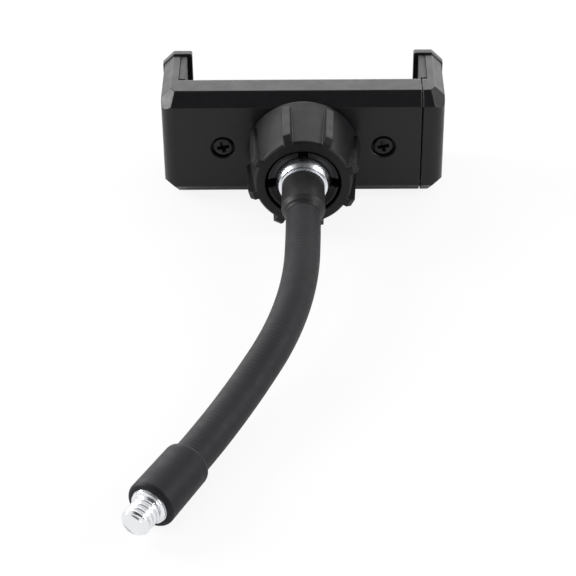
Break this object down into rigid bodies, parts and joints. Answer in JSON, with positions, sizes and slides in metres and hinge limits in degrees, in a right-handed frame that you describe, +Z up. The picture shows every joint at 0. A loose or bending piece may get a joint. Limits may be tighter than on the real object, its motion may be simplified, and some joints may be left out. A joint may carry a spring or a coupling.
{
  "type": "phone holder",
  "caption": "Spring-loaded phone clamp on a lockable ball joint and a short bendable neck that ends in a quarter-inch threaded stud.",
  "frame": {"origin": "middle of the rubber face that the phone lies on, half way between the two jaw pads", "axes": "+X along the clamp's opening, from the fixed jaw to the sliding jaw; +Y out of the phone seat, away from the ball joint; +Z up, across the clamp's height"},
  "size_m": [0.071, 0.1462, 0.0297],
  "materials": {
    "black_abs": "satin moulded",
    "pad_rubber": "matte",
    "sleeve_rubber": "matte",
    "jacket_rubber": "matte",
    "black_screw": "black oxide",
    "spring_steel": "drawn wire",
    "plated_steel": "polished plating",
    "white_nylon": "moulded"
  },
  "bodies": {
    "clamp": {"rear_housing": "black_abs", "front_cover": "black_abs", "seat_pad": "pad_rubber", "fixed_jaw_pad": "pad_rubber", "cover_screw_left": "black_screw", "cover_screw_right": "black_screw", "jaw_spring_upper": "spring_steel", "jaw_spring_lower": "spring_steel"},
    "jaw": {"sliding_jaw": "black_abs", "sliding_jaw_pad": "pad_rubber"},
    "nut": {"lock_nut": "black_abs"},
    "ball_cup": {"ball_seat": "white_nylon"},
    "ball_end": {"ball_stud": "plated_steel", "ball_end_ferrule": "plated_steel", "ball_end_sleeve": "sleeve_rubber"},
    "stud_end": {"neck_hose": "spring_steel", "neck_jacket": "jacket_rubber", "stud_end_ferrule": "plated_steel", "stud_end_sleeve": "sleeve_rubber", "threaded_stud": "plated_steel"}
  },
  "joints": [
    {"name": "jaw_slide", "type": "slide", "parent": "clamp", "child": "jaw", "axis": [1, 0, 0], "range_m": [0, 0.028], "stiffness_N_per_m": 250, "springref_m": -0.016, "deforming": ["jaw_spring_upper", "jaw_spring_lower"]},
    {"name": "nut_turn", "type": "hinge", "parent": "clamp", "child": "nut", "pos_m": [0, -0.0225, 0], "axis": [0, -1, 0], "range_deg": [0, 180]},
    {"name": "ball_swivel", "type": "hinge", "parent": "clamp", "child": "ball_cup", "pos_m": [0, -0.0225, 0], "axis": [0, -1, 0], "continuous": true},
    {"name": "ball_tilt", "type": "hinge", "parent": "ball_cup", "child": "ball_end", "pos_m": [0, -0.0225, 0], "axis": [1, 0, 0], "range_deg": [-28, 17]},
    {"name": "neck_bend", "type": "hinge", "parent": "ball_end", "child": "stud_end", "pos_m": [-0.00557, -0.07668, -0.0065], "axis": [0, 0, 1], "range_deg": [-45, 45], "deforming": ["neck_hose", "neck_jacket"]}
  ]
}
